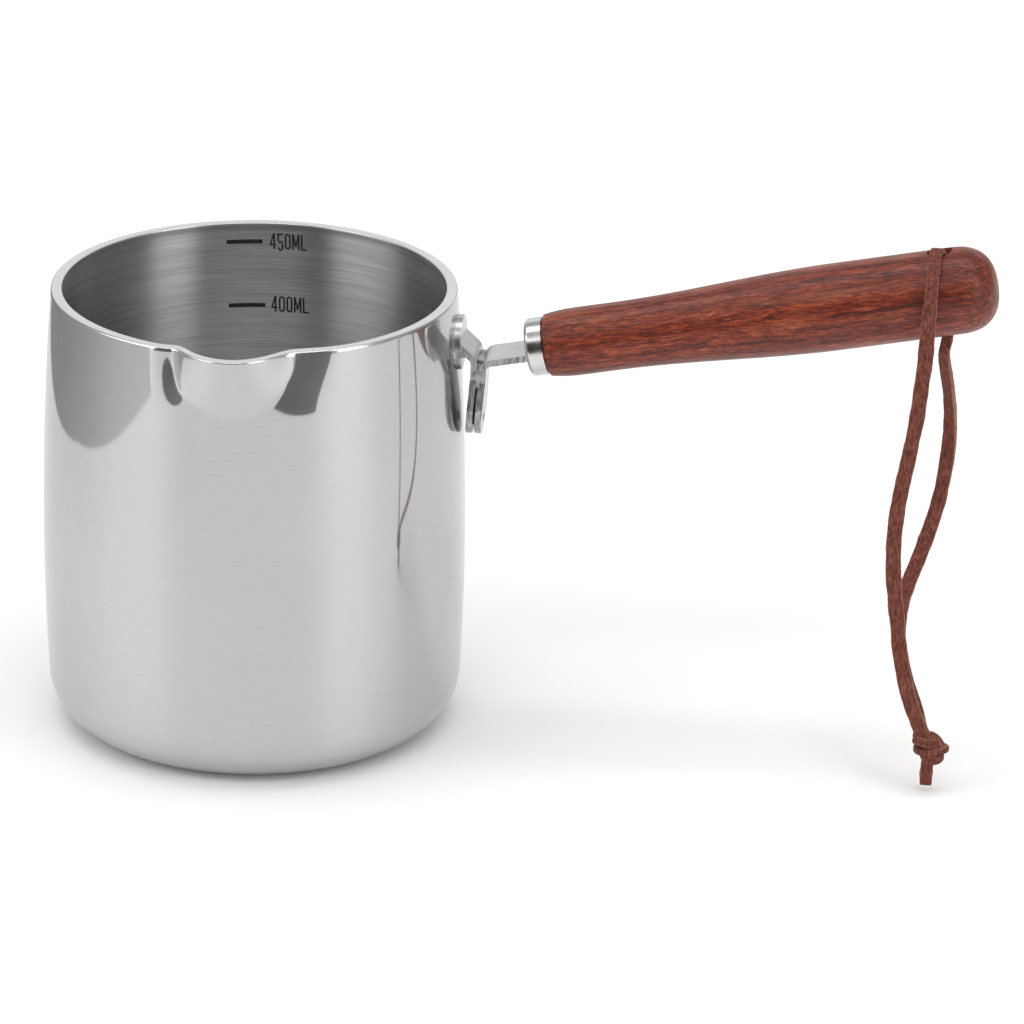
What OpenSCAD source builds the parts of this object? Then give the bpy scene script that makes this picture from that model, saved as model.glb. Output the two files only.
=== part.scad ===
// Candle melting pot: a drawn steel cup with a pouring spout, a handle bracket of two bent
// strips, a turned wooden handle with a steel ferrule, and a leather hanging lace.
// Millimetres. The origin is at the middle of the base, +X runs out along the handle, +Z is up.

/* [Pot] */
// Height from the table to the rim
pot_h = 91.5; // [75:0.5:120]
// Outside diameter at the rim
rim_d = 81; // [66:0.5:106]
// How far the belly stands out beyond the rim, on each side
belly_out = 2.25; // [0.5:0.25:4]
// Height of the widest place above the table
belly_h = 38; // [30:1:50]
// Outside radius of the corner between wall and base
corner_r = 10; // [6:0.5:14]
// Thickness of the wall and the base
wall_t = 1.2; // [0.8:0.1:1.6]
// Thickness of the rim, measured along its flat top
rim_t = 2.2; // [2:0.1:3]
// Height of the thick band under the rim
rim_h = 3; // [2:0.5:5]

/* [Spout] */
// Angle from the handle round to the middle of the spout
spout_angle = 87; // [75:1:105]
// How far the lip stands out beyond the rim
spout_out = 4.5; // [3:0.5:7]
// Width of the spout at the rim
spout_w = 20; // [16:1:26]
// Height of the spout's funnel, from its foot to the rim
spout_h = 13; // [10:1:18]

/* [Bracket] */
// Diameter of the round pad on the pot's wall
pad_d = 11; // [10:0.5:14]
// Distance the pad's face stands off the wall at its middle
pad_t = 0.9; // [0.6:0.1:1.5]
// Distance from the rim down to the pad's centre
pad_drop = 9.5; // [9:0.5:20]
// Width of both strips
strip_w = 9.6; // [8:0.2:10]
// Thickness of both strips
strip_t = 1.3; // [1:0.1:1.6]
// Slope of the short arm between the pad and its leg
arm_slope = 42; // [35:1:50]
// Depth of the two legs below the pad's centre
leg_drop = 19; // [17:0.5:26]
// Lean of the legs towards the pot
leg_lean = 4; // [0:0.5:5]
// Space between the two legs
leg_gap = 0.5; // [0.3:0.1:0.8]
// Space between the foot of the inner leg and the pot's wall
leg_clear = 0.8; // [0.5:0.1:3]
// Width of the waist of each leg, where the weld is
waist_w = 7; // [6:0.5:8]
// Diameter of the hole near the foot of each leg
leg_hole_d = 2; // [1.5:0.1:2.5]

/* [Handle] */
// Distance from the pot's wall to the ferrule
bracket_reach = 14; // [12.5:0.5:25]
// Upward tilt of the handle
handle_tilt = 11.5; // [5:0.5:15]
// Outside diameter of the ferrule
ferrule_d = 11.6; // [11.4:0.1:14]
// Length of the ferrule
ferrule_len = 3.5; // [3:0.5:8]
// Thickness of the ferrule's metal
ferrule_t = 0.6; // [0.4:0.1:0.8]
// Length of the wood outside the ferrule
handle_len = 90; // [80:1:140]
// How far the wood stands out beyond the ferrule where the grip begins
neck_step = 0.95; // [0.5:0.05:1.5]
// Largest diameter of the wood
grip_d = 17.2; // [15.5:0.1:20]
// Length of the rounded end of the wood
end_len = 8.5; // [7:0.5:12]
// Length of the strip's tongue inside the wood
tang_len = 28; // [15:1:40]
// Width of the strip's tongue
tang_w = 6; // [4:0.5:8]
// Diameter of the hole for the lace
lace_hole_d = 5; // [5:0.1:6]
// Distance from the handle's end to the middle of the lace hole
lace_hole_inset = 10.3; // [9.5:0.1:11]

/* [Lace] */
// Width of the flat leather lace
lace_w = 3; // [2.4:0.1:3.2]
// Thickness of the lace
lace_t = 1.4; // [1:0.1:1.6]
// Diameter of the knot
knot_d = 7.4; // [6:0.2:9]

/* [Hidden] */
steps = 28;                                  // straight pieces along the pot's wall
fine = 96;
wall_fine = 360;                             // the wall's facets, small enough to seat the pad

// --- pot profile ---
rim_r = rim_d / 2;
function wall_r(z) = rim_r + belly_out - belly_out * pow((z - belly_h) / (pot_h - belly_h), 2);
base_r = wall_r(corner_r) - corner_r;        // flat of the base
function corner(r) = [for (k = [0:12]) let (a = -90 + 90 * k / 12)
    [base_r + r * cos(a), corner_r + r * sin(a)]];
function side(inset, top) = [for (k = [1:steps]) let (z = corner_r + (top - corner_r) * k / steps)
    [wall_r(z) - inset, z]];
rim_soft = 0.6;                              // rounding of the rim's outer edge
band_foot = pot_h - rim_h;

// --- bracket ---
pad_z = pot_h - pad_drop;
pad_x = wall_r(pad_z) + pad_t;
leg_z = pad_z - leg_drop;
leg_mid = [wall_r(leg_z) + leg_clear + strip_t + leg_gap / 2, leg_z];
leg_down = [-sin(leg_lean), -cos(leg_lean)];
leg_out = [cos(leg_lean), -sin(leg_lean)];
leg_step = (leg_gap + strip_t) / 2;          // from the middle of the gap to a leg's middle
bend_r = 1.3 + strip_t / 2;                  // radius of a bend's middle line
paddle_r = (strip_w - 0.4) / 2;
leg_hole_z = leg_z + paddle_r - 1.2;

// --- handle ---
ferrule_x = wall_r(pad_z) + bracket_reach;
ferrule_z = pad_z - 0.4;
along = [cos(handle_tilt), sin(handle_tilt)];
across = [-sin(handle_tilt), cos(handle_tilt)];
wood_gap = 0.5;                              // dark groove between ferrule and wood
wood_x = ferrule_len + wood_gap;
neck_d = ferrule_d + 2 * neck_step;          // the wood where the grip begins
lace_hole_x = wood_x + handle_len - lace_hole_inset;

function cross2(a, b) = a.x * b.y - a.y * b.x;
function meet(p, u, q, v) = p + u * cross2(q - p, v) / cross2(u, v);
function unit(v) = v / norm(v);
function left(v) = [-v.y, v.x];
function turn(v, a) = [v.x * cos(a) - v.y * sin(a), v.x * sin(a) + v.y * cos(a)];

arm_foot = [pad_x, pad_z + 0.3];
arm_dir = [cos(arm_slope), -sin(arm_slope)];
arm_knee = meet(arm_foot, arm_dir, leg_mid - leg_out * leg_step, leg_down);
strip_line = [ferrule_x, ferrule_z] - across * strip_t / 2;
strip_knee = meet(strip_line, along, leg_mid + leg_out * leg_step, leg_down);

// One edge of a bent strip: straight, round the bend at p1, straight, at a distance o to the left
function strip_edge(p0, p1, p2, r, o) =
    let (d1 = unit(p1 - p0), d2 = unit(p2 - p1),
         a = atan2(cross2(d1, d2), d1 * d2), s = sign(a),
         c = p1 - d1 * r * tan(abs(a) / 2) + left(d1) * s * r)
    concat([p0 + left(d1) * o],
           [for (k = [0:10]) c - turn(left(d1) * s * (r - s * o), a * k / 10)],
           [p2 + left(d2) * o]);
function reversed(v) = [for (i = [len(v) - 1:-1:0]) v[i]];

// A strip bent once, drawn from the side and given its width across the handle
module bent_strip(p0, p1, p2, w) {
    rotate([90, 0, 0])
        linear_extrude(height = w, center = true)
            polygon(concat(strip_edge(p0, p1, p2, bend_r, strip_t / 2),
                           reversed(strip_edge(p0, p1, p2, bend_r, -strip_t / 2))));
}

// Outline of a leg seen along the handle: full width above, a waist, and a round foot
module leg_outline(knee_z) {
    waist_z = knee_z - 4.5;
    foot_z = leg_z + paddle_r;
    translate([0, foot_z]) circle(r = paddle_r, $fn = fine);
    polygon([[-paddle_r, foot_z], [paddle_r, foot_z], [paddle_r, foot_z + 1.5],
             [waist_w / 2, waist_z], [waist_w / 2, waist_z + 1.5], [strip_w / 2, knee_z - 0.8],
             [strip_w / 2, pot_h + handle_len], [-strip_w / 2, pot_h + handle_len],
             [-strip_w / 2, knee_z - 0.8], [-waist_w / 2, waist_z + 1.5],
             [-waist_w / 2, waist_z], [-paddle_r, foot_z + 1.5]]);
}
module leg_cutter(knee_z) {
    rotate([90, 0, 90]) linear_extrude(height = ferrule_x + handle_len) leg_outline(knee_z);
}
module leg_hole() {
    translate([leg_mid.x - 3 * strip_t, 0, leg_hole_z])
        rotate([0, 90, 0]) cylinder(d = leg_hole_d, h = 6 * strip_t, $fn = fine);
}

// The cup's outside as a full solid of revolution
module pot_outside() {
    rotate_extrude($fn = wall_fine)
        polygon(concat([[0, 0]], corner(corner_r), side(0, pot_h - rim_soft),
                       [[rim_r - rim_soft, pot_h], [0, pot_h]]));
}
// The hollow of the cup, with the thick rim band left standing
module pot_inside() {
    rotate_extrude($fn = wall_fine)
        polygon(concat([[0, wall_t]], corner(corner_r - wall_t), side(wall_t, band_foot - 1),
                       [[rim_r - rim_t, band_foot], [rim_r - rim_t, pot_h + 1], [0, pot_h + 1]]));
}
// A funnel that leans out to the lip: an arc through the lip at the rim, a rounded foot on the
// wall. The inner one is inset by the rim's thickness above and by the wall's below.
foot_r = 6;
chord_x = sqrt(rim_r * rim_r - spout_w * spout_w / 4);
lip_sag = rim_r + spout_out - chord_x;
lip_r = (spout_w * spout_w / 4 + lip_sag * lip_sag) / (2 * lip_sag);
module spout_form(inset_top, inset_foot, top) {
    foot_z = pot_h - spout_h;
    rotate([0, 0, -spout_angle])
        hull() {
            translate([rim_r + spout_out - lip_r, 0, pot_h - 1])
                cylinder(r = lip_r - inset_top, h = 1 + top, $fn = 64);
            translate([wall_r(foot_z) - foot_r, 0, foot_z])
                cylinder(r = foot_r - inset_foot, h = 1, $fn = 32);
        }
}
module handle_place() {
    translate([ferrule_x, 0, ferrule_z]) rotate([0, -handle_tilt, 0]) children();
}

module pot_body() {
    color([0.80, 0.80, 0.81])
        difference() {
            union() {
                pot_outside();
                spout_form(0, 0, 0);
            }
            pot_inside();
            spout_form(rim_t, wall_t, 1);
        }
}

module bracket_pad() {
    color([0.70, 0.70, 0.71])
        difference() {
            translate([rim_r - 4, 0, pad_z])
                rotate([0, 90, 0]) cylinder(d = pad_d, h = pad_x - rim_r + 4, $fn = fine);
            pot_outside();
        }
}

module pot_strip() {
    color([0.62, 0.62, 0.63])
        difference() {
            intersection() {
                bent_strip(arm_foot - arm_dir * 2, arm_knee,
                           arm_knee + leg_down * (leg_drop + 2), strip_w);
                leg_cutter(arm_knee.y);
            }
            translate([0, -strip_w, 0]) cube([pad_x, 2 * strip_w, pot_h + 20]);
            leg_hole();
        }
}

module handle_strip() {
    color([0.66, 0.66, 0.67])
        difference() {
            intersection() {
                bent_strip(strip_line + along * tang_len, strip_knee,
                           strip_knee + leg_down * (leg_drop + 2), strip_w);
                leg_cutter(strip_knee.y);
            }
            handle_place()
                for (side_y = [-1, 1])
                    translate([ferrule_t, side_y * (tang_w + strip_w) / 2, 0])
                        translate([0, -strip_w / 2, -5]) cube([tang_len + 5, strip_w, 10]);
            leg_hole();
        }
}

// Beads that join the two legs along both edges of their waists
module neck_weld() {
    bead_r = 1.1;
    color([0.72, 0.72, 0.72])
        for (side_y = [-1, 1], k = [0:2])
            translate([leg_mid.x - leg_down.x * (arm_knee.y - leg_z - 4.2 + k * 1.3) / cos(leg_lean),
                       side_y * (waist_w / 2 + 0.1), arm_knee.y - 4.2 + k * 1.3])
                sphere(r = bead_r, $fn = 32);
}

// A bead under the arm, along the pad's face
module pad_weld() {
    bead_r = 0.9;
    bead_len = 6.4;
    bead_z = arm_foot.y - strip_t / cos(arm_slope) / 2 - 0.8;
    color([0.72, 0.72, 0.72])
        difference() {
            translate([pad_x + 0.35, 0, bead_z])
                rotate([90, 0, 0]) cylinder(r = bead_r, h = bead_len, center = true, $fn = fine);
            translate([0, -strip_w, 0]) cube([pad_x, 2 * strip_w, pot_h]);
        }
}

module ferrule() {
    r = ferrule_d / 2;
    edge = 0.9;
    color([0.78, 0.78, 0.79])
        handle_place()
            difference() {
                rotate([0, 90, 0])
                    rotate_extrude($fn = fine)
                        polygon(concat([[0, 0]],
                                       [for (k = [0:6]) let (a = -90 + 15 * k)
                                           [r - edge + edge * cos(a), edge + edge * sin(a)]],
                                       [[r, ferrule_len], [r - ferrule_t, ferrule_len],
                                        [r - ferrule_t, ferrule_t + 0.4], [0, ferrule_t + 0.4]]));
                translate([-1, -strip_w / 2, -strip_t]) cube([ferrule_t + 2, strip_w, strip_t]);
            }
}

// Radius of the wood at a distance s from its start
swell_from = 14;
swell_to = 58;
end_steps = 18;
end_square = 0.8;                             // 1 makes the end an ellipse, less makes it squarer
function ease(u) = let (v = min(max(u, 0), 1)) v * v * (3 - 2 * v);
function grip_r(s) = (neck_d + (grip_d - neck_d) * ease((s - swell_from) / (swell_to - swell_from))) / 2
    - 0.55 * pow(max(0, 1 - s / 6), 2);
module wood_handle() {
    tenon_r = ferrule_d / 2 - ferrule_t;
    tenon_x = ferrule_t + 0.4;
    dome_x = handle_len - end_len;
    color([0.33, 0.16, 0.12])
        handle_place()
            difference() {
                rotate([0, 90, 0])
                    rotate_extrude($fn = fine)
                        polygon(concat([[0, tenon_x], [tenon_r, tenon_x], [tenon_r, wood_x]],
                                       [for (s = [0:1.5:6]) [grip_r(s), wood_x + s]],
                                       [for (k = [0:24]) let (s = 8 + (dome_x - 8) * k / 24)
                                           [grip_r(s), wood_x + s]],
                                       [for (k = [1:end_steps]) let (a = 90 * k / end_steps)
                                           [grip_r(dome_x) * pow(max(0, cos(a)), end_square),
                                            wood_x + dome_x + end_len * pow(sin(a), end_square)]]));
                translate([0, -tang_w / 2, -strip_t]) cube([tang_len, tang_w, strip_t]);
                translate([lace_hole_x, 0, -grip_d])
                    cylinder(d = lace_hole_d, h = 2 * grip_d, $fn = fine);
            }
}

// --- lace: each stretch is a flat tube with eight sides, swept along its route ---
lace_upper_route = [
    [138.9, -0.2, 88.6], [138.6, -0.1, 90], [138.2, 0, 92.5], [137.6, 0.1, 96], [136.8, 0.3, 100],
    [136.2, 0.5, 103], [135.8, 0.5, 105], [135.5, 0.1, 106.6], [135.2, -1, 107.5],
    [135, -2.4, 107.5], [134.9, -4.2, 106.6], [134.8, -6.4, 105], [134.7, -8.4, 102.4],
    [134.6, -9.5, 99.2], [134.4, -9.9, 95.5], [134.3, -10.4, 92], [134.2, -10.8, 88.6]];
lace_front_route = [
    [134.1, -11, 86.4], [133.8, -11.4, 83.5], [133.5, -11.9, 79.5], [133.1, -12.4, 75.5],
    [132.5, -12.9, 71.5], [131.9, -13.4, 67.5], [131.2, -13.9, 63.5], [130.6, -14.4, 59.5],
    [130.2, -14.9, 55.5], [130, -15.4, 51.5], [130.1, -15.9, 47], [130.4, -16.4, 43],
    [130.9, -16.9, 39], [131.5, -17.4, 35], [132, -17.9, 31], [132.7, -18.4, 27],
    [133.6, -18.9, 23], [134.8, -19.4, 19], [136.4, -19.9, 15], [137.8, -20.2, 12]];
lace_rear_route = [
    [137.4, 0.1, 86.4], [137.1, 1.1, 84.9], [137.4, 2.9, 82.5], [138.2, 6.6, 77.5],
    [138.9, 10.3, 71.9], [139.2, 12.3, 66.8], [139.2, 13.3, 62.2], [138.9, 13.8, 57.6],
    [138.4, 14, 53.2], [137.7, 13.7, 48.8], [136.7, 13.1, 44.7], [135.5, 11.9, 40.7],
    [134.2, 10.1, 36.9], [132.8, 7.8, 33.4], [131.8, 4.9, 30.2], [131.3, 1.6, 27.1],
    [131.5, -2, 24.3], [132.4, -5.9, 21.7], [133.7, -9.9, 19.1], [135.2, -13.8, 16.8],
    [136.3, -16.8, 14.8], [137, -18.3, 13.2], [137.4, -18.6, 12]];
knot_at = [139.4, -19.6, 9];
knot_h = 6.2;
tail_top = knot_at.z - knot_h / 2;
tail_foot = 1.2;

function tangent(p, i) = let (a = max(i - 1, 0), b = min(i + 1, len(p) - 1)) unit(p[b] - p[a]);
function ribbon_ring(c, t, w, h) =
    let (u = unit([1, 0, 0] - t * (t * [1, 0, 0])), v = cross(t, u))
    [for (k = [0:7]) c + u * (w / 2) * cos(45 * k + 22.5) / cos(22.5)
                       + v * (h / 2) * sin(45 * k + 22.5) / cos(22.5)];
module ribbon(route) {
    n = len(route);
    points = [for (i = [0:n - 1]) each ribbon_ring(route[i], tangent(route, i), lace_w, lace_t)];
    sides = [for (i = [0:n - 2], k = [0:7], half = [0, 1])
        let (a = 8 * i + k, b = 8 * i + (k + 1) % 8)
        half == 0 ? [a, a + 8, b] : [b, a + 8, b + 8]];
    ends = [[for (k = [0:7]) k], [for (k = [7:-1:0]) 8 * (n - 1) + k]];
    polyhedron(points = points, faces = concat(sides, ends));
}

module lace_upper() {
    color([0.25, 0.13, 0.10]) ribbon(lace_upper_route);
}
module lace_front() {
    color([0.25, 0.13, 0.10]) ribbon(lace_front_route);
}
module lace_rear() {
    color([0.25, 0.13, 0.10]) ribbon(lace_rear_route);
}
module lace_knot() {
    r = knot_d / 2;
    soft = knot_h / 2;
    color([0.22, 0.11, 0.09])
        translate(knot_at)
            rotate_extrude($fn = fine)
                polygon(concat([[0, -soft]],
                               [for (k = [0:12]) let (a = -90 + 15 * k)
                                   [r - 2 + 2 * cos(a), soft * sin(a)]],
                               [[0, soft]]));
}
module lace_tail(y) {
    translate([knot_at.x - lace_w / 2, y - lace_t / 2, tail_foot])
        cube([lace_w, lace_t, tail_top - tail_foot]);
}
module lace_tail_front() {
    color([0.25, 0.13, 0.10]) lace_tail(knot_at.y - lace_t / 2 - 0.1);
}
module lace_tail_rear() {
    color([0.25, 0.13, 0.10]) lace_tail(knot_at.y + lace_t / 2 + 0.1);
}

pot_body();
bracket_pad();
pad_weld();
pot_strip();
handle_strip();
neck_weld();
ferrule();
wood_handle();
lace_upper();
lace_front();
lace_rear();
lace_knot();
lace_tail_front();
lace_tail_rear();
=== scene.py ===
"""Looks of the candle melting pot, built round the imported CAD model.

The pot, the marks, the lace and the welds are laid out in millimetres, as in the part's source,
and mm() turns them into metres. The camera, the lights and the cards are in metres. The origin is
the middle of the pot's base, +X runs out along the handle and +Z is up.
"""

import math

import bpy
import numpy as np
from mathutils import Matrix, Vector, noise


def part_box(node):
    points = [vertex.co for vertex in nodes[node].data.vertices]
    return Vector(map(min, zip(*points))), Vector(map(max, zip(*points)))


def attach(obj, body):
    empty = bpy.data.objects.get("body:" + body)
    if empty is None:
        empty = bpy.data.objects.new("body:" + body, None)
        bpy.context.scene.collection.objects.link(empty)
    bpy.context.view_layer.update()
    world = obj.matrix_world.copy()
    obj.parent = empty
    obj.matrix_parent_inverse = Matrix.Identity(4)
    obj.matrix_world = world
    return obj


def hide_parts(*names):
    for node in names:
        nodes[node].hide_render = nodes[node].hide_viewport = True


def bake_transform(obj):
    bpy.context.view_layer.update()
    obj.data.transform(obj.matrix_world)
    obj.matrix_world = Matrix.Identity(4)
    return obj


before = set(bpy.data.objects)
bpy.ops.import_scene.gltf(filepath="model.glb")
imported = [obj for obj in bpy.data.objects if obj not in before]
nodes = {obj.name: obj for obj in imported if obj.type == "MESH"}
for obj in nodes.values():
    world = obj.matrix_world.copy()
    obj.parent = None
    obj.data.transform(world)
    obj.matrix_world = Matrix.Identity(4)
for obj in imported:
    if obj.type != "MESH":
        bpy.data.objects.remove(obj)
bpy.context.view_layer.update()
scene = bpy.context.scene


def mm(points):
    """Millimetres to metres, for one point or many."""
    return np.asarray(points, float) * 0.001


# ---------------------------------------------------------------- camera

CAMERA_AT = (0.15826, -0.92835, 0.42534)
CAMERA_YAW, CAMERA_DOWN, CAMERA_ROLL = 6.5, 22.09, 1.1   # degrees
CAMERA_LENS, CAMERA_SENSOR = 175.8, 36                   # millimetres


def make_camera():
    data = bpy.data.cameras.new("camera")
    data.lens = CAMERA_LENS
    data.sensor_width = CAMERA_SENSOR
    data.clip_start, data.clip_end = 0.05, 30
    camera = bpy.data.objects.new("camera", data)
    scene.collection.objects.link(camera)
    turn = (Matrix.Rotation(math.radians(CAMERA_YAW), 4, "Z")
            @ Matrix.Rotation(math.radians(90 - CAMERA_DOWN), 4, "X")
            @ Matrix.Rotation(math.radians(CAMERA_ROLL), 4, "Z"))
    camera.matrix_world = Matrix.Translation(CAMERA_AT) @ turn
    scene.camera = camera


make_camera()


# ---------------------------------------------------------------- mesh helpers

def new_mesh(name, points, faces, material=None, body=None):
    """A smooth-shaded mesh object from points in metres."""
    mesh = bpy.data.meshes.new(name)
    mesh.from_pydata([tuple(p) for p in points], [], faces)
    mesh.validate()
    mesh.shade_smooth()
    made = bpy.data.objects.new(name, mesh)
    scene.collection.objects.link(made)
    if material:
        mesh.materials.append(material)
    if body:
        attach(made, body)
    return made


def sharpen(made, degrees):
    """Marks the edges that are sharper than an angle, so that shading breaks there."""
    made.data.set_sharp_from_angle(angle=math.radians(degrees))


def ease(u):
    """Runs smoothly from 0 to 1 as u does, and stays level outside."""
    v = np.clip(u, 0, 1)
    return v * v * (3 - 2 * v)


def resample(points, step):
    """A smooth curve through the points (centripetal Catmull-Rom), sampled evenly."""
    p = np.asarray(points, float)
    p = np.vstack([2 * p[0] - p[1], p, 2 * p[-1] - p[-2]])
    out = []
    for i in range(1, len(p) - 2):
        p0, p1, p2, p3 = p[i - 1:i + 3]
        t1 = np.linalg.norm(p1 - p0) ** 0.5
        t2 = t1 + np.linalg.norm(p2 - p1) ** 0.5
        t3 = t2 + np.linalg.norm(p3 - p2) ** 0.5
        for t in np.linspace(t1, t2, 12, endpoint=False):
            a1 = p0 * (t1 - t) / t1 + p1 * t / t1
            a2 = p1 * (t2 - t) / (t2 - t1) + p2 * (t - t1) / (t2 - t1)
            a3 = p2 * (t3 - t) / (t3 - t2) + p3 * (t - t2) / (t3 - t2)
            b1 = a1 * (t2 - t) / t2 + a2 * t / t2
            b2 = a2 * (t3 - t) / (t3 - t1) + a3 * (t - t1) / (t3 - t1)
            out.append(b1 * (t2 - t) / (t2 - t1) + b2 * (t - t1) / (t2 - t1))
    out.append(p[-2])
    out = np.array(out)
    run = np.concatenate([[0], np.cumsum(np.linalg.norm(np.diff(out, axis=0), axis=1))])
    count = max(4, int(run[-1] / step) + 1)
    at = np.linspace(0, run[-1], count)
    return np.stack([np.interp(at, run, out[:, k]) for k in range(3)], 1)


RING = 20                                   # points round a strip's section
SQUARE_WIDE, SQUARE_HIGH = 0.45, 0.60       # powers that square off a strip's rounded section
CUT_FROM, CUT_OVER = 0.86, 0.12             # where a strip's face turns into its cut edge


def strip(name, line, width, thick, broad, material, closed=False, rough=0.03, seed=0.0,
          twist=0.0, pinch=1.0):
    """A flat strip with a slightly rough skin, swept along a line in millimetres. broad is the
    direction that its width follows. twist (degrees) and pinch (a share of the width) are one
    value or one for each point. The attribute cut is 1 on its cut edges."""
    line = np.asarray(line, float)
    n = len(line)
    if closed:
        along = np.roll(line, -1, 0) - np.roll(line, 1, 0)
    else:
        along = np.gradient(line, axis=0)
    along /= np.linalg.norm(along, axis=1)[:, None]
    wide = np.broadcast_to(np.asarray(broad, float), line.shape)
    wide = wide - along * (wide * along).sum(1)[:, None]
    wide = wide / np.linalg.norm(wide, axis=1)[:, None]
    high = np.cross(along, wide)
    turn = np.radians(np.broadcast_to(twist, n))[:, None]
    wide, high = (wide * np.cos(turn) + high * np.sin(turn),
                  high * np.cos(turn) - wide * np.sin(turn))
    pinch = np.broadcast_to(pinch, n)
    points, cut = [], []
    for i in range(n):
        swell = 1 + rough * noise.noise((i * 0.23 + seed, seed, 0.3))
        for k in range(RING):
            a = 2 * math.pi * (k + 0.5) / RING
            c, s = math.cos(a), math.sin(a)
            x = math.copysign(abs(c) ** SQUARE_WIDE, c)
            y = math.copysign(abs(s) ** SQUARE_HIGH, s)
            fuzz = 1 + 0.5 * rough * noise.noise((i * 0.9 + seed, k * 1.7, seed))
            points.append(line[i] + wide[i] * x * width / 2 * pinch[i] * swell * fuzz
                          + high[i] * y * thick / 2 * fuzz)
            cut.append(max(0.0, min(1.0, (abs(x) - CUT_FROM) / CUT_OVER)))
    rings = n if closed else n - 1
    faces = [(i * RING + k, i * RING + (k + 1) % RING,
              (i + 1) % n * RING + (k + 1) % RING, (i + 1) % n * RING + k)
             for i in range(rings) for k in range(RING)]
    if not closed:
        for first, order in ((0, -1), (n - 1, 1)):
            centre = len(points)
            points.append(line[first])
            cut.append(1.0)
            ring = [first * RING + k for k in range(RING)]
            faces += [(centre, ring[k], ring[(k + 1) % RING])[::order] for k in range(RING)]
    return strip_mesh(name, mm(points), faces, cut, material)


def strip_mesh(name, points, faces, cut, material):
    """A mesh object that carries the attribute cut, one value for each point."""
    made = new_mesh(name, points, faces, material)
    marks = made.data.attributes.new("cut", "FLOAT", "POINT")
    marks.data.foreach_set("value", np.array(cut, np.float32))
    sharpen(made, 55)
    return made


def join(name, parts, material):
    """Joins strips into one object."""
    points, faces, cut = [], [], []
    for part in parts:
        start = len(points)
        points += [tuple(v.co) for v in part.data.vertices]
        faces += [[start + v for v in f.vertices] for f in part.data.polygons]
        cut += [value.value for value in part.data.attributes["cut"].data]
        bpy.data.objects.remove(part)
    return strip_mesh(name, points, faces, cut, material)


# ---------------------------------------------------------------- material helpers

class Paint:
    """One node material with short calls for the nodes that this file uses."""

    def __init__(self, name):
        self.material = bpy.data.materials.new(name)
        self.material.use_nodes = True
        self.tree = self.material.node_tree
        self.shader = self.tree.nodes["Principled BSDF"]
        self.output = self.tree.nodes["Material Output"]

    def node(self, kind, **values):
        made = self.tree.nodes.new("ShaderNode" + kind)
        for key, value in values.items():
            setattr(made, key, value)
        return made

    def link(self, source, target):
        self.tree.links.new(source, target)

    def set(self, shader=None, **values):
        for key, value in values.items():
            (shader or self.shader).inputs[key.replace("_", " ")].default_value = value

    def place(self, scale=(1, 1, 1), turn=(0, 0, 0), shift=(0, 0, 0)):
        """Object coordinates, moved, turned and scaled."""
        coords = self.node("TexCoord")
        moved = self.node("Mapping", vector_type="TEXTURE")
        moved.inputs["Location"].default_value = shift
        moved.inputs["Rotation"].default_value = [math.radians(t) for t in turn]
        self.link(coords.outputs["Object"], moved.inputs["Vector"])
        sized = self.node("VectorMath", operation="MULTIPLY")
        sized.inputs[1].default_value = scale
        self.link(moved.outputs["Vector"], sized.inputs[0])
        return sized.outputs["Vector"]

    def noise(self, vector, detail=3.0, roughness=0.5, distortion=0.0):
        made = self.node("TexNoise")
        self.link(vector, made.inputs["Vector"])
        self.set(made, Scale=1.0, Detail=detail, Roughness=roughness, Distortion=distortion)
        return made.outputs["Fac"]

    def ramp(self, value, *stops):
        """Maps a value to colours or grey levels through (position, colour) stops."""
        made = self.node("ValToRGB")
        ramp = made.color_ramp
        while len(ramp.elements) < len(stops):
            ramp.elements.new(0.5)
        for element, (position, colour) in zip(ramp.elements, stops):
            element.position = position
            if not isinstance(colour, (tuple, list)):
                colour = (colour,) * 3
            element.color = (*colour, 1)
        self.link(value, made.inputs["Fac"])
        return made.outputs["Color"]

    def mix(self, factor, first, second, blend="MIX"):
        """Mixes two colours. Each of the three values is a socket, a colour or a number."""
        made = self.node("Mix", data_type="RGBA", blend_type=blend)
        for socket, value in ((made.inputs["Factor"], factor), (made.inputs[6], first),
                              (made.inputs[7], second)):
            if isinstance(value, bpy.types.NodeSocket):
                self.link(value, socket)
            elif isinstance(value, (tuple, list)):
                socket.default_value = (*value, 1)
            else:
                socket.default_value = value
        return made.outputs[2]

    def math(self, operation, first, second=0.0):
        made = self.node("Math", operation=operation)
        for socket, value in zip(made.inputs, (first, second)):
            if isinstance(value, bpy.types.NodeSocket):
                self.link(value, socket)
            else:
                socket.default_value = value
        return made.outputs[0]

    def bump(self, height, strength, distance):
        made = self.node("Bump")
        self.set(made, Strength=strength, Distance=distance)
        self.link(height, made.inputs["Height"])
        return made.outputs["Normal"]

    def rings(self, per_radian, per_metre):
        """A vector that runs round the pot's axis and up it, for the noise of turning lines."""
        coords = self.node("TexCoord")
        split = self.node("SeparateXYZ")
        self.link(coords.outputs["Object"], split.inputs[0])
        angle = self.math("ARCTAN2", split.outputs["Y"], split.outputs["X"])
        made = self.node("CombineXYZ")
        self.link(self.math("MULTIPLY", angle, per_radian), made.inputs["X"])
        self.link(self.math("MULTIPLY", split.outputs["Z"], per_metre), made.inputs["Y"])
        return made.outputs[0]

    def ring_tangent(self, shader):
        """Turns a shader's anisotropy round the pot's axis."""
        tangent = self.node("Tangent", direction_type="RADIAL", axis="Z")
        self.link(tangent.outputs["Tangent"], shader.inputs["Tangent"])


STEEL = (0.55, 0.55, 0.553)
ALONG_HANDLE = (0, -11.5, 0)          # degrees: the handle rises as it runs out


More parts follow.
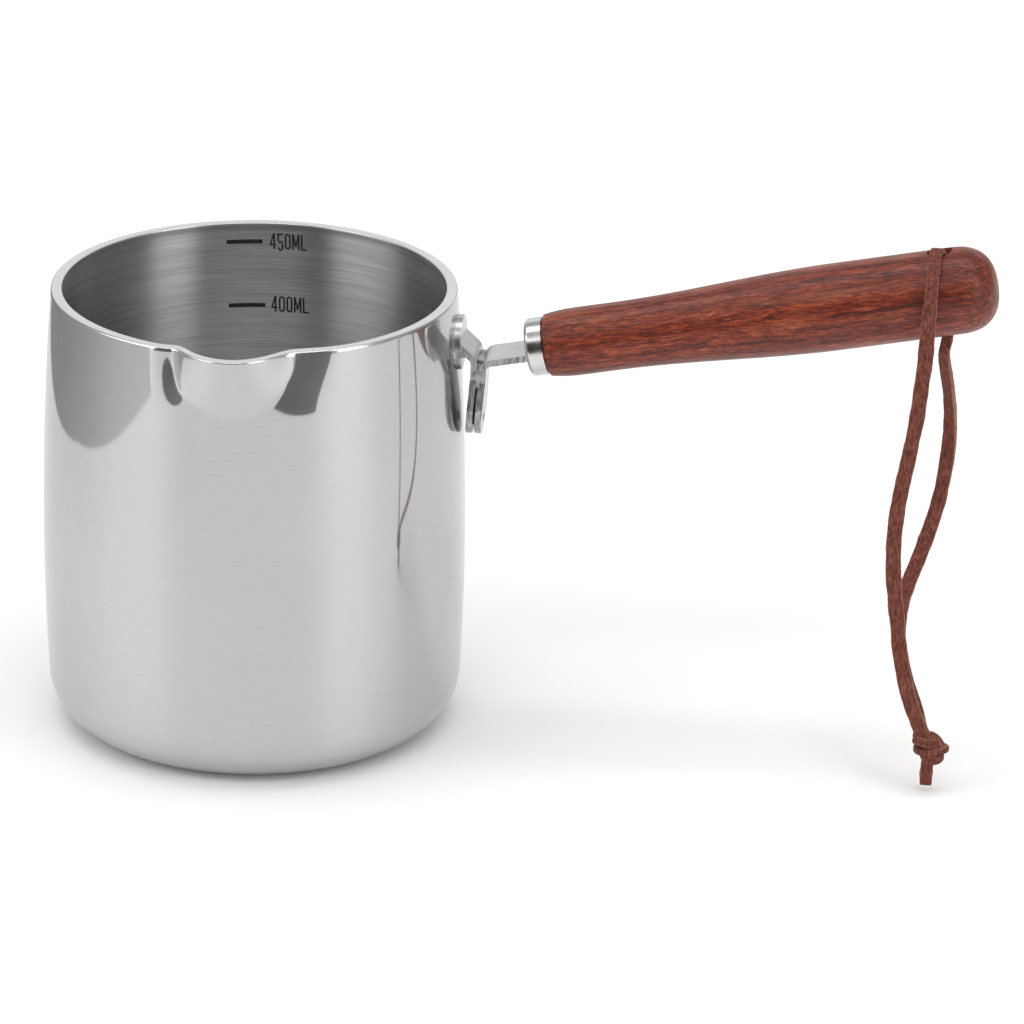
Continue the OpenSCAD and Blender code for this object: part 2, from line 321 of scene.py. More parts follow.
def polished_steel():
    """Mirror-polished stainless steel with a faint haze stretched upright by the turning lines."""
    p = Paint("polished_steel")
    p.set(Base_Color=(*STEEL, 1), Metallic=1, Roughness=0.045)
    haze = p.node("BsdfPrincipled")
    p.set(haze, Base_Color=(*STEEL, 1), Metallic=1, Roughness=0.42, Anisotropic=0.92,
          Anisotropic_Rotation=0.25)
    p.ring_tangent(haze)
    blotch = p.noise(p.place((30, 30, 30)), detail=4.0)
    lines = p.noise(p.rings(9.0, 4200.0), detail=3.0, roughness=0.65)
    p.link(p.bump(lines, 0.5, 0.0000014), p.shader.inputs["Normal"])
    share = p.ramp(p.mix(0.35, blotch, lines), (0.35, 0.29), (0.68, 0.43))
    both = p.node("MixShader")
    p.link(share, both.inputs["Fac"])
    p.link(p.shader.outputs[0], both.inputs[1])
    p.link(haze.outputs[0], both.inputs[2])
    p.link(both.outputs[0], p.output.inputs["Surface"])
    return p.material


def brushed_inside():
    """Lathe-brushed steel: fine rings round the cup that smear light upright."""
    p = Paint("brushed_inside")
    fine = p.noise(p.rings(2.2, 3600.0), detail=3.0, roughness=0.7)
    broad = p.noise(p.rings(1.1, 900.0), detail=2.0)
    tone = p.ramp(fine, (0.30, (0.44, 0.43, 0.42)), (0.50, (0.63, 0.62, 0.605)),
                  (0.72, (0.86, 0.85, 0.83)))
    tone = p.mix(0.35, tone, p.ramp(broad, (0.35, 0.46), (0.65, 0.70)))
    p.link(tone, p.shader.inputs["Base Color"])
    p.set(Metallic=1, Roughness=0.42, Anisotropic=1.0, Anisotropic_Rotation=0.25)
    p.ring_tangent(p.shader)
    p.link(p.bump(fine, 0.15, 0.00001), p.shader.inputs["Normal"])
    return p.material


def rim_steel():
    """The rim's flat top and its rounded edge, polished brighter than the wall."""
    p = Paint("rim_steel")
    p.set(Base_Color=(0.64, 0.64, 0.643, 1), Metallic=1)
    blotch = p.noise(p.place((260, 260, 260)), detail=3.0)
    p.link(p.ramp(blotch, (0.3, 0.16), (0.7, 0.26)), p.shader.inputs["Roughness"])
    p.link(p.bump(blotch, 0.12, 0.00003), p.shader.inputs["Normal"])
    return p.material


def strip_steel():
    """Satin sheet steel: faint rolling lines, soft dull patches and dark, streaked cut edges."""
    p = Paint("strip_steel")
    lines = p.noise(p.place((60, 900, 60)), detail=3.0)
    cloud = p.noise(p.place((140, 140, 140)), detail=3.0)
    shear = p.noise(p.place((1900, 300, 380)), detail=4.0, roughness=0.7)
    coords = p.node("TexCoord")
    facing = p.node("SeparateXYZ")
    p.link(coords.outputs["Normal"], facing.inputs[0])
    edge = p.ramp(p.math("ABSOLUTE", facing.outputs["Y"]), (0.75, 0.0), (0.93, 1.0))
    face_tone = p.ramp(cloud, (0.30, (0.50, 0.50, 0.50)), (0.70, (0.60, 0.60, 0.60)))
    edge_tone = p.ramp(shear, (0.30, (0.12, 0.12, 0.12)), (0.50, (0.38, 0.38, 0.38)),
                       (0.72, (0.72, 0.72, 0.72)))
    p.link(p.mix(edge, face_tone, edge_tone), p.shader.inputs["Base Color"])
    p.set(Metallic=1)
    rough = p.mix(edge, p.ramp(lines, (0.3, 0.26), (0.7, 0.38)), (0.46, 0.46, 0.46))
    p.link(rough, p.shader.inputs["Roughness"])
    fine = p.bump(lines, 0.15, 0.00003)
    coarse = p.node("Bump")
    p.set(coarse, Distance=0.00008)
    p.link(p.math("MULTIPLY", edge, 0.7), coarse.inputs["Strength"])
    p.link(shear, coarse.inputs["Height"])
    p.link(fine, coarse.inputs["Normal"])
    p.link(coarse.outputs[0], p.shader.inputs["Normal"])
    return p.material


def weld_steel():
    """Small weld beads with a scaly skin."""
    p = Paint("weld_steel")
    scale = p.noise(p.place((2200, 2200, 2200)), detail=4.0)
    tint = p.noise(p.place((350, 350, 350)), detail=2.0)
    p.link(p.ramp(tint, (0.30, (0.22, 0.21, 0.20)), (0.70, (0.60, 0.59, 0.58))),
           p.shader.inputs["Base Color"])
    p.set(Metallic=1)
    p.link(p.ramp(scale, (0.3, 0.38), (0.7, 0.55)), p.shader.inputs["Roughness"])
    p.link(p.bump(scale, 0.8, 0.0001), p.shader.inputs["Normal"])
    return p.material


def ferrule_steel():
    """Turned steel with a soft shine and faint lines round the handle's axis."""
    p = Paint("ferrule_steel")
    p.set(Base_Color=(0.66, 0.65, 0.645, 1), Metallic=1)
    lines = p.noise(p.place((900, 60, 60), ALONG_HANDLE), detail=2.0)
    p.link(p.ramp(lines, (0.3, 0.20), (0.7, 0.28)), p.shader.inputs["Roughness"])
    p.link(p.bump(lines, 0.08, 0.00002), p.shader.inputs["Normal"])
    return p.material


def wood():
    """Dark red-brown hardwood under satin varnish, its grain running along the handle."""
    p = Paint("handle_wood")
    broad = p.noise(p.place((12, 110, 110), ALONG_HANDLE), detail=4.0, distortion=0.6)
    streak = p.noise(p.place((80, 1000, 1000), ALONG_HANDLE), detail=3.0, distortion=0.4)
    fibre = p.noise(p.place((380, 4200, 4200), ALONG_HANDLE), detail=3.0, roughness=0.7)
    grain = p.math("ADD", p.math("MULTIPLY", streak, 0.36), p.math("MULTIPLY", fibre, 0.64))
    pores = p.noise(p.place((420, 4300, 4300), ALONG_HANDLE, (0.3, 0.1, 0.2)), detail=1.0)
    figure = p.noise(p.place((30, 330, 330), ALONG_HANDLE), detail=3.0, distortion=0.8)
    tone = p.ramp(grain, (0.38, (0.038, 0.0045, 0.0025)), (0.47, (0.125, 0.0150, 0.0060)),
                  (0.55, (0.235, 0.0370, 0.0130)), (0.66, (0.390, 0.105, 0.036)))
    warm = p.ramp(broad, (0.38, (0.78, 0.70, 0.68)), (0.66, (1.25, 1.20, 1.05)))
    tone = p.mix(1.0, tone, warm, "MULTIPLY")
    tone = p.mix(p.ramp(figure, (0.56, 0.0), (0.74, 0.50)), tone, (0.30, 0.090, 0.030))
    dark = p.ramp(pores, (0.30, 1.0), (0.40, 0.0))
    tone = p.mix(p.math("MULTIPLY", dark, 0.85), tone, (0.016, 0.004, 0.003))
    p.link(tone, p.shader.inputs["Base Color"])
    p.link(p.ramp(grain, (0.36, 0.52), (0.65, 0.38)), p.shader.inputs["Roughness"])
    p.set(Specular_IOR_Level=0.30, Coat_Weight=0.24, Coat_Roughness=0.30)
    depth = p.math("SUBTRACT", p.math("MULTIPLY", grain, 0.6), dark)
    p.link(p.bump(depth, 0.6, 0.00006), p.shader.inputs["Normal"])
    return p.material


def suede():
    """Dark brown suede with a short nap, paler where the strip was cut."""
    p = Paint("lace_suede")
    nap = p.noise(p.place((2100, 2100, 700)), detail=4.0, roughness=0.7)
    cloud = p.noise(p.place((160, 160, 160)), detail=3.0)
    face = p.ramp(nap, (0.32, (0.068, 0.019, 0.014)), (0.50, (0.148, 0.047, 0.034)),
                  (0.70, (0.260, 0.096, 0.068)))
    face = p.mix(p.ramp(cloud, (0.45, 0.0), (0.75, 0.22)), face, (0.100, 0.040, 0.031))
    cut = p.node("Attribute", attribute_name="cut").outputs["Fac"]
    patchy = p.math("MULTIPLY", cut, p.ramp(cloud, (0.30, 0.25), (0.60, 0.85)))
    tone = p.mix(patchy, face, (0.36, 0.175, 0.118))
    p.link(tone, p.shader.inputs["Base Color"])
    p.set(Roughness=0.95, Specular_IOR_Level=0.12, Sheen_Weight=0.06, Sheen_Roughness=0.5)
    p.link(p.bump(nap, 0.7, 0.00012), p.shader.inputs["Normal"])
    return p.material


def mark_black():
    """Etched level marks: dark oxide on the brushed wall."""
    p = Paint("mark_black")
    speck = p.noise(p.place((1500, 1500, 1500)), detail=3.0)
    p.link(p.ramp(speck, (0.3, (0.018, 0.018, 0.018)), (0.75, (0.050, 0.049, 0.048))),
           p.shader.inputs["Base Color"])
    p.set(Roughness=0.55, Metallic=0.3)
    return p.material


# ---------------------------------------------------------------- lace (the cord)

LACE_W, LACE_T = 3.0, 1.4
upper_route = [
    [138.0, 0, 88.6], [138.0, 0, 90], [137.9, 0, 92.5], [137.6, 0.1, 96], [136.8, 0.3, 100],
    [136.2, 0.5, 103], [135.8, 0.4, 105], [135.5, -0.1, 106.3], [135.2, -1.2, 107.0],
    [135, -2.6, 107.1], [134.9, -4.3, 106.4], [134.8, -6.4, 105], [134.7, -8.4, 102.4],
    [134.6, -9.5, 99.2], [134.4, -9.9, 95.5], [134.3, -10.4, 92], [134.2, -10.8, 88.6]]
front_route = [
    [134.1, -11, 86.4], [133.8, -11.4, 83.5], [133.5, -11.9, 79.5], [133.1, -12.4, 75.5],
    [132.5, -12.9, 71.5], [131.9, -13.4, 67.5], [131.2, -13.9, 63.5], [130.6, -14.4, 59.5],
    [130.2, -14.9, 55.5], [130, -15.4, 51.5], [130.1, -15.9, 47], [130.4, -16.4, 43],
    [130.9, -16.9, 39], [131.5, -17.4, 35], [132, -17.9, 31], [132.7, -18.4, 27],
    [133.6, -18.9, 23], [134.8, -19.4, 19], [136.4, -19.9, 15], [137.8, -20.2, 12]]
rear_route = [
    [137.6, 0.4, 86.3], [137.5, 1.4, 84.7], [137.7, 3.0, 82.4], [138.3, 6.6, 77.5],
    [138.9, 10.3, 71.9], [139.2, 12.3, 66.8], [139.2, 13.3, 62.2], [138.9, 13.8, 57.6],
    [138.4, 14, 53.2], [137.7, 13.7, 48.8], [136.7, 13.1, 44.7], [135.5, 11.9, 40.7],
    [134.2, 10.1, 36.9], [132.8, 7.8, 33.4], [131.8, 4.9, 30.2], [131.3, 1.6, 27.1],
    [131.5, -2, 24.3], [132.4, -5.9, 21.7], [133.7, -9.9, 19.1], [135.2, -13.8, 16.8],
    [136.3, -16.8, 14.8], [137, -18.3, 13.2], [137.4, -18.6, 12]]
SPLIT_IN_HOLE = 4                     # the lace's two strands meet at this point of upper_route
TWIST_SPREAD = 0.16                   # shares of a strand's length
PINCH_AT, PINCH_SPREAD = 0.12, 0.07
KNOT = np.array([139.4, -19.6, 9.0])
TAIL_W, TAIL_T = 2.45, 1.2

leather = suede()


def make_strand(name, route, covers, seed, twist=(0, 0), pinch=1.0):
    """One strand of the loop, from the hole to the knot. twist is the most that it turns, in
    degrees, and how far along that is. pinch is its width where it leaves the handle, as a share."""
    line = resample(route, 0.6)
    u = np.linspace(0, 1, len(line))
    turned = twist[0] * np.exp(-((u - twist[1]) / TWIST_SPREAD) ** 2)
    held = 1 - (1 - pinch) * np.exp(-((u - PINCH_AT) / PINCH_SPREAD) ** 2)
    made = strip(name, line, LACE_W, LACE_T, (1, 0, 0), leather, rough=0.10, seed=seed,
                 twist=turned, pinch=held)
    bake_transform(made)
    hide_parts(*covers)


def wrap(name, centre, half_x, half_y, tilt, width, thick, seed, lift):
    """One turn of the lace round the knot: a closed strip, its width upright."""
    line = []
    for k in range(48):
        a = 2 * math.pi * k / 48
        x, y = half_x * math.cos(a), half_y * math.sin(a)
        z = math.tan(math.radians(tilt)) * x + lift * math.cos(2 * a + seed)
        line.append(KNOT + np.array(centre) + np.array([x, y, z]))
    return strip(name, line, width, thick, (0, 0, 1), leather, closed=True, rough=0.16, seed=seed)


def make_knot():
    """The overhand knot: two bundled turns, the hump they cross over, the lump under them."""
    def at(*offsets):
        return [KNOT + np.array(p) for p in offsets]
    core = at([-1.8, -0.2, 3.6], [-1.1, -0.1, 2.2], [-0.1, 0.1, 0.6], [0.1, 0.1, -1.2],
              [-0.3, 0, -2.9])
    hump = at([-1.9, 0.3, 2.1], [-0.6, 0.2, 2.65], [0.8, 0.1, 2.3], [1.8, 0, 1.4], [2.4, 0, 0.2])
    under = at([-1.7, 1.3, -0.5], [-1.3, -1.2, -1.0], [0.1, -2.1, -1.5], [1.6, -1.7, -1.6],
               [2.3, 0.1, -1.2], [1.6, 1.6, -0.6])
    turns = [
        wrap("turn_a", (-0.75, -0.1, 2.25), 2.35, 1.75, -9, 1.05, 1.1, 1.3, 0.10),
        wrap("turn_b", (-0.55, -0.1, 1.30), 2.55, 1.90, -7, 0.95, 1.2, 4.1, 0.10),
        wrap("turn_c", (0.15, -0.1, 0.05), 2.95, 2.05, 4, 1.25, 1.25, 7.7, 0.12),
        strip("hump", resample(hump, 0.4), 2.9, 1.2, (0, 1, 0), leather, rough=0.16, seed=8.2),
        strip("under", resample(under, 0.4), 1.9, 1.1, (0, 0, 1), leather, rough=0.18, seed=2.2),
        strip("core", resample(core, 0.5), 2.7, 2.4, (1, 0, 0), leather, rough=0.12, seed=5.0),
    ]
    return join("knot_turns", turns, leather)


def make_tail(name, side, foot, lean, seed):
    """A cut end of the lace, hanging from the knot down to foot."""
    line = resample([KNOT + np.array(p) for p in
                     ([-0.4, side, -2.3], [-0.5, side * 1.05, -4.0],
                      [-0.55 + lean * 0.5, side * 1.1, -5.8], [-0.6 + lean, side * 1.15, foot])], 0.5)
    return strip(name, line, TAIL_W, TAIL_T, (1, 0.15 * lean, 0), leather, rough=0.14, seed=seed)


knot = make_knot()
tail_front = make_tail("tail_front", -0.75, -7.5, 0.05, 3.0)
tail_rear = make_tail("tail_rear", 0.65, -7.3, -0.05, 9.0)
for piece, node in ((knot, "lace_knot"), (tail_front, "lace_tail_front"),
                    (tail_rear, "lace_tail_rear")):
    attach(piece, "lace")
    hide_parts(node)
make_strand("lace_over_handle", upper_route[SPLIT_IN_HOLE:] + front_route,
            ["lace_upper", "lace_front"], 0.0, pinch=0.78)
make_strand("lace_under_handle", upper_route[:SPLIT_IN_HOLE + 1][::-1] + rear_route,
            ["lace_rear"], 20.0, twist=(42, 0.27), pinch=0.76)


# ---------------------------------------------------------------- pot body

POT_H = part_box("pot_body")[1].z * 1000
RIM_R, BELLY_OUT, BELLY_H = 40.5, 2.25, 38.0
CORNER_R, WALL_T, RIM_T = 10.0, 1.2, 2.2
SPOUT_ANGLE = math.radians(-87)
SPOUT_OUT, SPOUT_HALF, SPOUT_H = 4.7, 13.0, 13.0
LEFT_DENT, RIGHT_DENT = (-11.0, 2.8, 0.82), (13.8, 6.3, 0.90)   # where, how wide, how deep
DENT_H = SPOUT_H + 1                                     # how far the dents run down the wall
DENT_REACH = 42.0                                        # and to each side
EDGE_R = 0.35                                            # rounding of the rim's outer edge
LEDGE_FROM, LEDGE_OVER = 0.4, 1.3                        # where the thick rim eases into the wall
SPOUT_BAND = 17.0                                        # the stretch of wall with the finest rings
AROUND = 512                                             # points in a ring
CROWDING = 0.72                                          # how much closer they are at the spout


def wall_r(z):
    """The wall's outer radius at a height."""
    return RIM_R + BELLY_OUT - BELLY_OUT * ((z - BELLY_H) / (POT_H - BELLY_H)) ** 2


def spout_push(angle, z):
    """How far the wall stands out of round at an angle and a height, in millimetres."""
    turn = (angle - SPOUT_ANGLE + math.pi) % (2 * math.pi) - math.pi
    side = turn * RIM_R
    depth = POT_H - z
    if abs(side) > DENT_REACH or depth > DENT_H:
        return 0.0
    bulge = 0.0
    if depth < SPOUT_H:
        half = SPOUT_HALF * math.sqrt(max(1e-4, 1 - (depth / SPOUT_H) ** 2))
        u = min(1.0, abs(side) / half)
        bulge = SPOUT_OUT * (1 - depth / SPOUT_H) ** 0.95 * (1 - u * u) ** 2
    down = min(1.0, depth / DENT_H)
    falls = ((LEFT_DENT, math.cos(down * math.pi / 2) ** 2), (RIGHT_DENT, (1 - down) ** 1.6))
    dent = sum(deep * low * math.exp(-((side - at) / wide) ** 2)
               for (at, wide, deep), low in falls)
    return bulge - dent


def angles_round():
    """Angles round the pot, closer together near the spout."""
    even = np.linspace(0, 2 * math.pi, AROUND, endpoint=False)
    return SPOUT_ANGLE + math.pi + even + CROWDING * np.sin(even)


def pot_profile():
    """Points (radius, height, zone) from the outside of the base's middle, up the wall, over the
    rim and down to the inside of the floor's middle."""
    base_r = wall_r(CORNER_R) - CORNER_R
    inner_corner = CORNER_R - WALL_T
    inner_rim = RIM_R - RIM_T
    band_low = POT_H - SPOUT_BAND
    corner = [math.pi / 2 * k / 14 for k in range(15)]
    rows = [(r, 0.0, "out") for r in (0.6, 6, 12, 18, 24, 29, base_r - 0.8)]
    rows += [(base_r + CORNER_R * math.sin(a), CORNER_R - CORNER_R * math.cos(a), "out")
             for a in corner]
    heights = [*np.linspace(CORNER_R, band_low, 26)[1:], *np.linspace(band_low, POT_H - EDGE_R, 34)[1:]]
    rows += [(wall_r(z), z, "out") for z in heights]
    for k in range(1, 6):
        a = math.pi / 2 * k / 5
        rows.append((RIM_R - EDGE_R + EDGE_R * math.cos(a), POT_H - EDGE_R + EDGE_R * math.sin(a),
                     "rim"))
    rows += [(inner_rim + 0.9, POT_H, "rim"), (inner_rim + 0.18, POT_H, "rim"),
             (inner_rim + 0.05, POT_H - 0.05, "rim"), (inner_rim, POT_H - 0.2, "rim")]
    for z in np.linspace(POT_H - 0.5, band_low, 34):
        ledge = (RIM_T - WALL_T) * (1 - float(ease((POT_H - z - LEDGE_FROM) / LEDGE_OVER)))
        rows.append((wall_r(z) - WALL_T - ledge, z, "in"))
    rows += [(wall_r(z) - WALL_T, z, "in") for z in np.linspace(band_low, CORNER_R, 22)[1:]]
    rows += [(base_r + inner_corner * math.cos(a), CORNER_R - inner_corner * math.sin(a), "in")
             for a in corner[1:]]
    rows += [(r, WALL_T, "in") for r in (29, 24, 18, 12, 6, 0.6)]
    return rows


def make_pot():
    """The whole shell, turned from its profile and pushed out of round at the spout."""
    rows = pot_profile()
    angles = angles_round()
    points = []
    for r, z, zone in rows:
        for a in angles:
            reach = r + spout_push(a, z)
            points.append((reach * math.cos(a), reach * math.sin(a), z))
    faces = [(i * AROUND + k, i * AROUND + (k + 1) % AROUND,
              (i + 1) * AROUND + (k + 1) % AROUND, (i + 1) * AROUND + k)
             for i in range(len(rows) - 1) for k in range(AROUND)]
    low, top = len(points), len(points) + 1
    points += [(0, 0, 0), (0, 0, WALL_T)]
    last = (len(rows) - 1) * AROUND
    faces += [(low, (k + 1) % AROUND, k) for k in range(AROUND)]
    faces += [(top, last + k, last + (k + 1) % AROUND) for k in range(AROUND)]
    made = new_mesh("pot_shell", mm(points), faces, polished_steel(), "pot")
    made.data.materials.append(brushed_inside())
    made.data.materials.append(rim_steel())
    zones = {"out": 0, "in": 1, "rim": 2}
    index = [zones[zone] for r, z, zone in rows[1:] for k in range(AROUND)]
    index += [zones["out"]] * AROUND + [zones["in"]] * AROUND
    made.data.polygons.foreach_set("material_index", index)
    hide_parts("pot_body")


make_pot()


# ---------------------------------------------------------------- level marks

DASH_W, DASH_H = 7.4, 0.9
LETTER_W, LETTER_H, LETTER_T, LETTER_GAP = 1.26, 3.5, 0.36, 0.27
LETTER_SHARE = {"M": 1.25, "L": 0.95}                    # widths that differ from LETTER_W
MARK_R = 39.3                                            # turns widths on the wall into angles
MARK_BACK, MARK_FRONT = 0.01, 0.05                       # how far the plates stand off the wall

mark_paint = mark_black()


def on_wall(angle, z, off):
    """A point just inside the cup's wall."""
    r = wall_r(z) - WALL_T - off
    return (r * math.cos(angle), r * math.sin(angle), z)


def mark_plate(name, patches):
    """Thin plates on the inner wall. Each patch is a grid of (across, up) points, in millimetres,
    laid out from an angle and a height and running clockwise round the wall."""
    points, faces = [], []
    for angle, z0, grid in patches:
        rows, columns = len(grid), len(grid[0])
        start = len(points)
        for off in (MARK_BACK, MARK_FRONT):
            for row in grid:
                for across, up in row:
                    points.append(on_wall(angle - across / MARK_R, z0 + up, off))
        layer = rows * columns
        for i in range(rows - 1):
            for j in range(columns - 1):
                a = start + i * columns + j
                quad = (a, a + 1, a + columns + 1, a + columns)
                faces.append(tuple(v + layer for v in quad))
                faces.append(quad[::-1])
        edge = ([start + j for j in range(columns)]
                + [start + i * columns + columns - 1 for i in range(1, rows)]
                + [start + (rows - 1) * columns + j for j in range(columns - 2, -1, -1)]
                + [start + i * columns for i in range(rows - 2, 0, -1)])
        for k in range(len(edge)):
            a, b = edge[k], edge[(k + 1) % len(edge)]
            faces.append((a, b, b + layer, a + layer))
    made = new_mesh(name, mm(points), faces, mark_paint, "pot")
    sharpen(made, 30)


def bar(x0, y0, x1, y1, thick, steps=1):
    """A straight stroke from one point to another as a grid."""
    along = np.array([x1 - x0, y1 - y0])
    along = along / np.linalg.norm(along)
    side = np.array([-along[1], along[0]]) * thick / 2
    ends = [np.array([x0, y0]), np.array([x1, y1])]
    rows = [ends[0] + (ends[1] - ends[0]) * k / steps for k in range(steps + 1)]
    return [[tuple(c - side), tuple(c + side)] for c in rows]


def arc(cx, cy, rx, ry, a0, a1, thick, steps=12):
    """A curved stroke along part of an ellipse as a grid."""
    rows = []
    for k in range(steps + 1):
        a = math.radians(a0 + (a1 - a0) * k / steps)
        c, s = math.cos(a), math.sin(a)
        rows.append([(cx + (rx - thick / 2) * c, cy + (ry - thick / 2) * s),
                     (cx + (rx + thick / 2) * c, cy + (ry + thick / 2) * s)])
    return rows


def glyph(letter, w, h, t):
    """Strokes of one plain narrow letter or figure, w wide, h high and t thick."""
    x = w / 2
    r = x - t / 2
    if letter == "0":
        return [arc(x, h - x, r, r, 0, 180, t), arc(x, x, r, r, 180, 360, t),
                bar(t / 2, x, t / 2, h - x, t), bar(w - t / 2, x, w - t / 2, h - x, t)]
    if letter == "4":
        return [bar(w * 0.70, 0, w * 0.70, h, t), bar(0, h * 0.27, w, h * 0.27, t),
                bar(w * 0.62, h - t * 0.3, t * 0.3, h * 0.27, t * 0.9)]
    if letter == "5":
        return [bar(t / 2, h - t / 2, w * 0.92, h - t / 2, t), bar(t / 2, h, t / 2, h * 0.50, t),
                arc(x, r + t / 2 + h * 0.02, r, h * 0.28, -160, 140, t, 16)]
    if letter == "M":
        return [bar(t / 2, 0, t / 2, h, t), bar(w - t / 2, 0, w - t / 2, h, t),
                bar(t * 0.6, h - t * 0.2, x, h * 0.18, t * 0.9),
                bar(w - t * 0.6, h - t * 0.2, x, h * 0.18, t * 0.9)]
    return [bar(t / 2, 0, t / 2, h, t), bar(0, t / 2, w, t / 2, t)]      # L


def level_mark(name, figures, dash_angle, text_angle, z_dash, z_text):
    """A dash and its volume beside it. The angles are where each starts, in degrees."""
    patches = [(math.radians(dash_angle), z_dash, bar(0, 0, DASH_W, 0, DASH_H, 10))]
    x = 0.0
    for letter in figures:
        w = LETTER_W * LETTER_SHARE.get(letter, 1.0)
        for stroke in glyph(letter, w, LETTER_H, LETTER_T):
            shifted = [[(x + a, b) for a, b in row] for row in stroke]
            patches.append((math.radians(text_angle), z_text, shifted))
        x += w + LETTER_GAP
    mark_plate(name, patches)


level_mark("mark_450", "450ML", 108.1, 95.1, 87.0, 85.4)
level_mark("mark_400", "400ML", 107.3, 94.8, 72.7, 71.3)


# ---------------------------------------------------------------- materials of the CAD nodes

def repaint(node, material):
    """Gives a CAD node its material."""
    mesh = nodes[node].data
    mesh.materials.clear()
    mesh.materials.append(material)


def soften(node, width):
    """A small rounding along the sharp edges of a sheet-metal piece, width in millimetres."""
    made = nodes[node].modifiers.new("edge", "BEVEL")
    made.width = width * 0.001
    made.segments = 2
    made.limit_method = "ANGLE"
    made.angle_limit = math.radians(35)
    made.harden_normals = True


satin = strip_steel()
weld = weld_steel()
for node, material in (("bracket_pad", satin), ("pot_strip", satin), ("handle_strip", satin),
                       ("pad_weld", weld), ("ferrule", ferrule_steel()),
                       ("wood_handle", wood())):
    repaint(node, material)
soften("handle_strip", 0.13)
soften("pot_strip", 0.13)
soften("bracket_pad", 0.15)

LEG_LEAN = math.tan(math.radians(4))
RIDGE_W, RIDGE_T, RIDGE_IN = 1.35, 0.6, 1.25             # RIDGE_IN: how far in from the weld's side
WEB_W, WEB_T, WEB_H = 5.2, 0.52, 9.0                     # the metal between the legs
CROTCH_LONG, CROTCH_W, CROTCH_T = 6.6, 1.7, 1.3          # the fillet where they part


def make_neck_weld():
    """The weld between the two legs: a lumpy ridge on each side, the metal between them, and a
    fillet across the crotch where they part."""
    low, high = (np.array(c) * 1000 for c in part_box("neck_weld"))
    middle = (low + high) / 2
    side = high[1] - RIDGE_IN

    def seam(y, z0, z1):
        return resample([(middle[0] + LEG_LEAN * (z - middle[2]), y, z)
                         for z in np.linspace(z0, z1, 6)], 0.22)

    parts = [strip("ridge", seam(s * side, low[2] - 0.6, high[2] - 0.2), RIDGE_W, RIDGE_T,
                   (1, 0, 0), weld, rough=0.75, seed=3.0 + s) for s in (-1, 1)]
    parts.append(strip("between", seam(0, low[2] - WEB_H, low[2]), WEB_W, WEB_T, (0, 1, 0), weld,
                       rough=0.02, seed=6.0))
    top = high[2] - 0.5
    across = [(middle[0] + LEG_LEAN * 2, y, top)
              for y in np.linspace(-CROTCH_LONG / 2, CROTCH_LONG / 2, 20)]
    parts.append(strip("crotch", across, CROTCH_W, CROTCH_T, (1, 0, 0), weld, rough=0.25, seed=8.0))
    made = join("neck_weld_metal", parts, weld)
    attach(made, "pot")
    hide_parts("neck_weld")


make_neck_weld()


# ---------------------------------------------------------------- studio

FLOOR_HALF, FLOOR_Z = 4.0, -0.0002
TOWARD_CAMERA = math.radians(CAMERA_YAW - 90)            # azimuth of the camera from the pot
CARD_LEFT_R, CARD_RIGHT_R = 0.60, 0.46                   # the camera-side card's distance
TABLE_EDGE = [(-0.06, 0.40), (-0.165, 0.17), (-0.225, 0.036), (-0.262, -0.11), (-0.294, -0.241)]


def make_floor():
    p = Paint("floor_white")
    p.set(Base_Color=(0.95, 0.95, 0.95, 1), Roughness=0.9, Specular_IOR_Level=0.1)
    corners = [(x * FLOOR_HALF, y * FLOOR_HALF, FLOOR_Z)
               for x, y in ((-1, -1), (1, -1), (1, 1), (-1, 1))]
    made = new_mesh("floor", corners, [(0, 1, 2, 3)], p.material)


def flag(name, foot, height, tones=(0.02, 0.02)):
    """A card that only reflections see: painted shade, its greys standing in for the dim, unlit studio
    around the pot. foot is a line on the floor, in metres; tones are its greys at the end nearest the
    camera and at the end farthest from it."""
    p = Paint(name)
    ys = [y for x, y in foot]
    across = p.node("SeparateXYZ")
    p.link(p.place(), across.inputs[0])
    share = p.node("MapRange")
    share.inputs["From Min"].default_value = min(ys)
    share.inputs["From Max"].default_value = max(ys) + 0.001
    p.link(across.outputs["Y"], share.inputs["Value"])
    p.link(p.ramp(share.outputs[0], (0.0, tones[0]), (1.0, tones[1])),
           p.shader.inputs["Base Color"])
    p.set(Roughness=1, Specular_IOR_Level=0)
    n = len(foot)
    points = [(x, y, z) for z in (0.0, height) for x, y in foot]
    made = new_mesh(name, points, [(i, i + 1, n + i + 1, n + i) for i in range(n - 1)],
                    p.material)
    made.visible_camera = made.visible_diffuse = made.visible_shadow = False
    made.visible_transmission = made.visible_volume_scatter = False


def seen_from_camera(right, away):
    """A floor point given to the right of the pot and away from the camera, in metres."""
    c, s = math.cos(math.radians(CAMERA_YAW)), math.sin(math.radians(CAMERA_YAW))
    return (right * c - away * s, right * s + away * c)


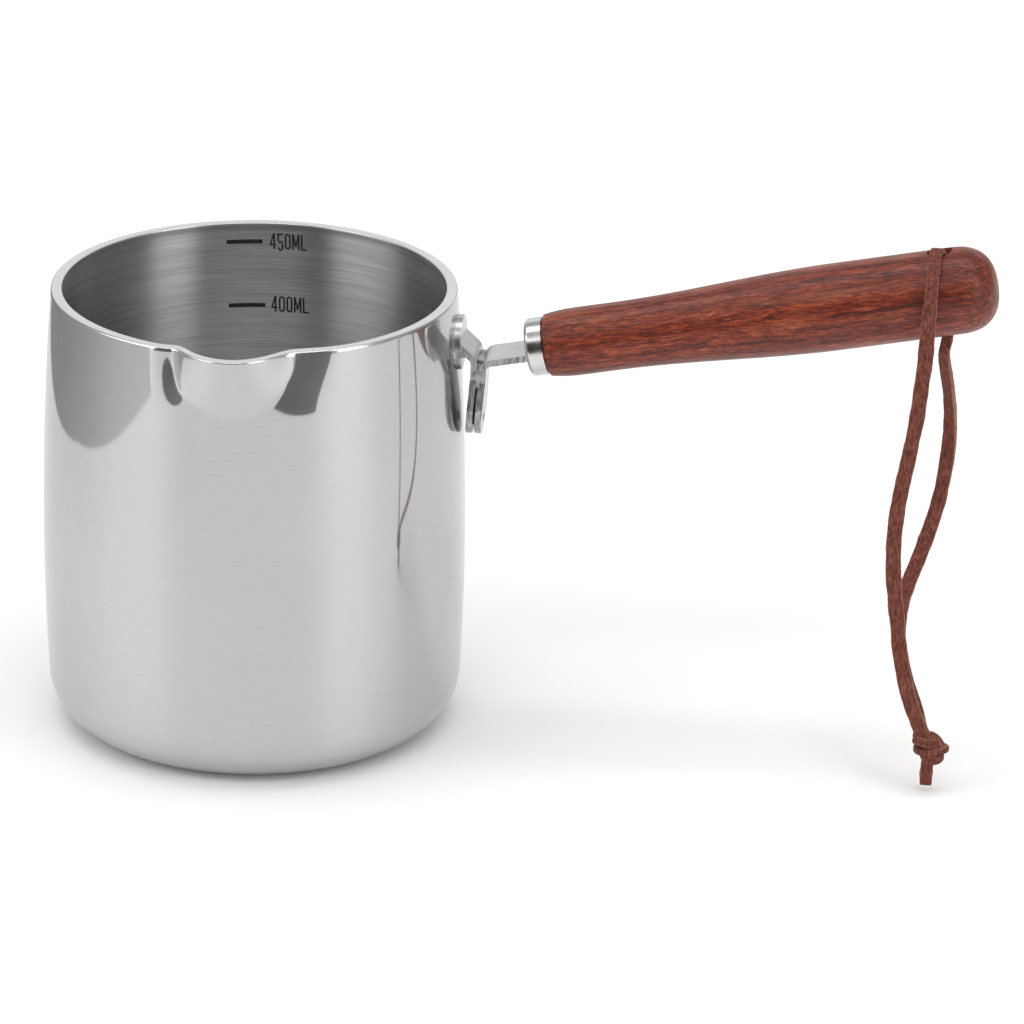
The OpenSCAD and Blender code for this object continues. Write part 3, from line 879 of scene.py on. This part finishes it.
def camera_side_card():
    """The foot of the black painted-shade card: an arc on the camera's side of the pot that steps in
    smoothly toward the right.
    """
    foot = []
    for degrees in range(-44, 40, 6):
        r = CARD_LEFT_R - (CARD_LEFT_R - CARD_RIGHT_R) * float(ease((degrees + 17) / 12))
        a = math.radians(degrees)
        foot.append(seen_from_camera(r * math.sin(a), -r * math.cos(a)))
    return foot


def panel(name, centre, facing, width, height, radiance, reflected=True):
    """A light panel. Its radiance is given against a white wall in full light at 1."""
    data = bpy.data.lights.new(name, "AREA")
    data.shape = "RECTANGLE"
    data.size, data.size_y = width, height
    data.energy = radiance * math.pi * width * height
    made = bpy.data.objects.new(name, data)
    scene.collection.objects.link(made)
    made.location = centre
    made.rotation_euler = Vector(facing).to_track_quat("-Z", "Y").to_euler()
    made.visible_camera = False
    made.visible_glossy = reflected


def softbox(name, side, distance, low, high, width, radiance):
    """An upright panel. side is its direction from the pot, in degrees right of the camera."""
    a = TOWARD_CAMERA + math.radians(side)
    panel(name, (distance * math.cos(a), distance * math.sin(a), (low + high) / 2),
          (-math.cos(a), -math.sin(a), 0), width, high - low, radiance)


def make_studio():
    world = bpy.data.worlds.new("studio")
    scene.world = world
    world.use_nodes = True
    background = world.node_tree.nodes["Background"]
    background.inputs["Color"].default_value = (1, 1, 1, 1)
    background.inputs["Strength"].default_value = 0.40
    softbox("box_left", -68, 1.1, 0.05, 1.35, 0.95, 1.6)
    softbox("box_right", 53, 1.1, 0.05, 1.35, 0.52, 1.9)
    softbox("box_back", 180, 1.8, 0.30, 1.60, 2.6, 0.62)
    softbox("box_front_high", 2, 1.0, 1.0, 1.9, 1.3, 2.2)
    panel("overhead", (0.05, 0, 2.2), (0, 0, -1), 3.2, 3.2, 0.40, reflected=False)
    panel("top_strip", (0.05, 0.12, 1.6), (0, 0, -1), 2.2, 0.55, 2.6)
    # painted shade seen only in reflections: a grey card for the dim studio beyond the table's edge,
    # lighter toward the camera
    flag("flag_painted_shade_beyond_table", [seen_from_camera(x, y) for x, y in TABLE_EDGE], 0.12, (0.62, 0.14))
    # painted shade seen only in reflections: a black card for the dark studio on the camera's side
    flag("flag_painted_shade_camera_side", camera_side_card(), 0.50)
    scene.view_settings.view_transform = "Standard"
    scene.view_settings.look = "None"


make_floor()
make_studio()
